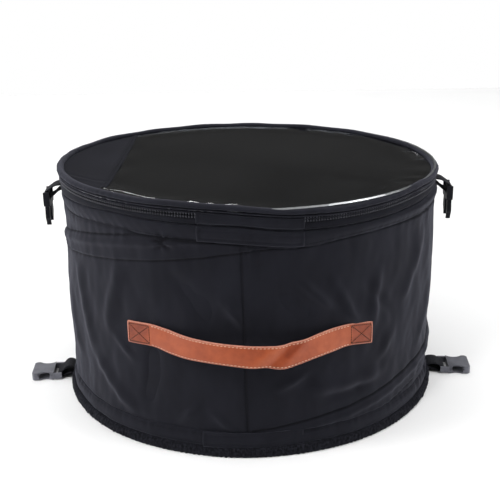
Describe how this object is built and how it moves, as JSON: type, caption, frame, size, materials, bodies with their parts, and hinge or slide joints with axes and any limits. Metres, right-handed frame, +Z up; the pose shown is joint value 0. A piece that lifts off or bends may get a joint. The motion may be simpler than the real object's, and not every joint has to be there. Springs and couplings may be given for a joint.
{
  "type": "hat box",
  "caption": "Round pop-up hat box of black cloth on spring-wire hoops, with a zip-on lid with a clear window, a leather-look side handle and side-release buckles.",
  "frame": {"origin": "centre of the base's underside, on the table", "axes": "+Z up, -Y towards the front with the handle and the lid's cloth hinge, +X to the right seen from the front"},
  "size_m": [0.5416, 0.4604, 0.2682],
  "materials": {
    "cloth": "matte",
    "binding": "matte",
    "zip_tape": "matte",
    "webbing": "matte",
    "zip_teeth": "satin",
    "spring_wire": "satin",
    "board": "matte",
    "strap_leather": "satin",
    "buckle_plastic": "satin",
    "zip_metal": "satin",
    "clear_window": "gloss"
  },
  "bodies": {
    "base": {"base_panel": "cloth", "base_board": "board", "base_lining": "cloth", "base_binding": "binding", "bottom_hem": "cloth", "bottom_hem_wire": "spring_wire", "bottom_patch": "cloth", "wall": "cloth", "helix_tape": "cloth", "helix_wire": "spring_wire", "base_strap_left": "webbing", "base_strap_right": "webbing"},
    "top_ring": {"top_hem": "cloth", "top_hem_wire": "spring_wire", "top_patch": "cloth", "zip_tape_box": "zip_tape", "zip_teeth_box": "zip_teeth", "hinge_panel": "cloth", "buckle_loop_left": "webbing", "buckle_loop_right": "webbing"},
    "lid": {"zip_tape_lid": "zip_tape", "zip_teeth_lid": "zip_teeth", "lid_piping": "cloth", "lid_wire": "spring_wire", "lid_panel": "cloth", "lid_window": "clear_window"},
    "handle": {"handle_end_left": "strap_leather", "handle_end_right": "strap_leather"},
    "handle_grip": {"handle_grip": "strap_leather"},
    "zip_slider_right": {"zip_slider_right": "zip_metal"},
    "zip_pull_right": {"zip_pull_right": "zip_metal"},
    "buckle_male_right": {"buckle_male_right": "buckle_plastic"},
    "buckle_arm_front_right": {"buckle_arm_front_right": "buckle_plastic"},
    "buckle_arm_back_right": {"buckle_arm_back_right": "buckle_plastic"},
    "buckle_female_right": {"buckle_female_right": "buckle_plastic"},
    "zip_slider_left": {"zip_slider_left": "zip_metal"},
    "zip_pull_left": {"zip_pull_left": "zip_metal"},
    "buckle_male_left": {"buckle_male_left": "buckle_plastic"},
    "buckle_arm_front_left": {"buckle_arm_front_left": "buckle_plastic"},
    "buckle_arm_back_left": {"buckle_arm_back_left": "buckle_plastic"},
    "buckle_female_left": {"buckle_female_left": "buckle_plastic"}
  },
  "joints": [
    {"name": "collapse", "type": "slide", "parent": "base", "child": "top_ring", "axis": [0, 0, 1], "range_m": [-0.16, 0], "stiffness_N_per_m": 100, "springref_m": 0.06, "deforming": ["wall", "helix_tape", "helix_wire"]},
    {"name": "handle_follow", "type": "slide", "parent": "base", "child": "handle", "axis": [0, 0, 1], "range_m": [-0.0776, 0]},
    {"name": "handle_lift", "type": "hinge", "parent": "handle", "child": "handle_grip", "pos_m": [0, -0.1862, 0.122], "axis": [-1, 0, 0], "range_deg": [0, 35], "stiffness_Nm_per_rad": 0.1},
    {"name": "lid_hinge", "type": "hinge", "parent": "top_ring", "child": "lid", "pos_m": [0, -0.2195, 0.2435], "axis": [1, 0, 0], "range_deg": [0, 180], "deforming": ["hinge_panel"]},
    {"name": "zip_right", "type": "hinge", "parent": "top_ring", "child": "zip_slider_right", "pos_m": [0, 0, 0.2564], "axis": [0, 0, -1], "range_deg": [0, 160]},
    {"name": "pull_right", "type": "hinge", "parent": "zip_slider_right", "child": "zip_pull_right", "pos_m": [0.00886, 0.22052, 0.2564], "axis": [0.9992, -0.0401, 0], "range_deg": [0, 170]},
    {"name": "buckle_swing_right", "type": "hinge", "parent": "top_ring", "child": "buckle_male_right", "pos_m": [0.23343, -0.01632, 0.2344], "axis": [-0.0698, -0.9976, 0], "range_deg": [-18, 100]},
    {"name": "arm_press_front_right", "type": "hinge", "parent": "buckle_male_right", "child": "buckle_arm_front_right", "pos_m": [0.23259, -0.02829, 0.2201], "axis": [0.9976, -0.0698, 0], "range_deg": [0, 6], "stiffness_Nm_per_rad": 0.5},
    {"name": "arm_press_back_right", "type": "hinge", "parent": "buckle_male_right", "child": "buckle_arm_back_right", "pos_m": [0.23427, -0.00435, 0.2201], "axis": [-0.9976, 0.0698, 0], "range_deg": [0, 6], "stiffness_Nm_per_rad": 0.5},
    {"name": "base_buckle_lift_right", "type": "hinge", "parent": "base", "child": "buckle_female_right", "pos_m": [0.23642, -0.01653, 0.0047], "axis": [-0.0698, -0.9976, 0], "range_deg": [0, 105]},
    {"name": "zip_left", "type": "hinge", "parent": "top_ring", "child": "zip_slider_left", "pos_m": [0, 0, 0.2564], "axis": [0, 0, 1], "range_deg": [0, 160]},
    {"name": "pull_left", "type": "hinge", "parent": "zip_slider_left", "child": "zip_pull_left", "pos_m": [-0.00886, 0.22052, 0.2564], "axis": [0.9992, 0.0401, 0], "range_deg": [0, 170]},
    {"name": "buckle_swing_left", "type": "hinge", "parent": "top_ring", "child": "buckle_male_left", "pos_m": [-0.23343, -0.01632, 0.2344], "axis": [-0.0698, 0.9976, 0], "range_deg": [-18, 100]},
    {"name": "arm_press_front_left", "type": "hinge", "parent": "buckle_male_left", "child": "buckle_arm_front_left", "pos_m": [-0.23259, -0.02829, 0.2201], "axis": [0.9976, 0.0698, 0], "range_deg": [0, 6], "stiffness_Nm_per_rad": 0.5},
    {"name": "arm_press_back_left", "type": "hinge", "parent": "buckle_male_left", "child": "buckle_arm_back_left", "pos_m": [-0.23427, -0.00435, 0.2201], "axis": [-0.9976, -0.0698, 0], "range_deg": [0, 6], "stiffness_Nm_per_rad": 0.5},
    {"name": "base_buckle_lift_left", "type": "hinge", "parent": "base", "child": "buckle_female_left", "pos_m": [-0.23642, -0.01653, 0.0047], "axis": [-0.0698, 0.9976, 0], "range_deg": [0, 105]}
  ],
  "couplings": [
    {"joint": "handle_follow", "follows": "collapse", "ratio": 0.485}
  ]
}
